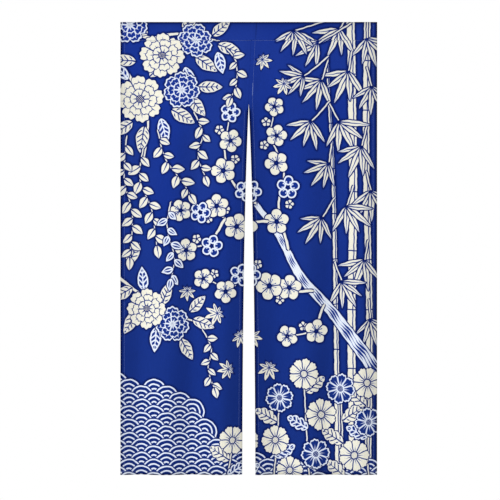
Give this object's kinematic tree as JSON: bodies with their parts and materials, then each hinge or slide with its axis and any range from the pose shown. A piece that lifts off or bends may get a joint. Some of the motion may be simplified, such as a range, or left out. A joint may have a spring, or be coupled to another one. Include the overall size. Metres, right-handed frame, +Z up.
{
  "type": "noren curtain",
  "caption": "Split doorway curtain of printed cloth, sewn together at the top and hung from a rod pocket, its slit drawn slightly open.",
  "frame": {"origin": "middle of the curtain's top edge, at the fold of the rod pocket", "axes": "+Z up, so the cloth hangs down to z = -1.5 m; +X across the doorway to the viewer's right; the printed front faces -Y"},
  "size_m": [0.85, 0.0323, 1.5],
  "materials": {
    "printed_cloth": "matt plain-weave cotton printed cream on blue",
    "sewing_thread": "pale blue sewing thread"
  },
  "bodies": {
    "root": {"heading": "printed_cloth", "panel_left": "printed_cloth", "panel_right": "printed_cloth"}
  },
  "joints": []
}
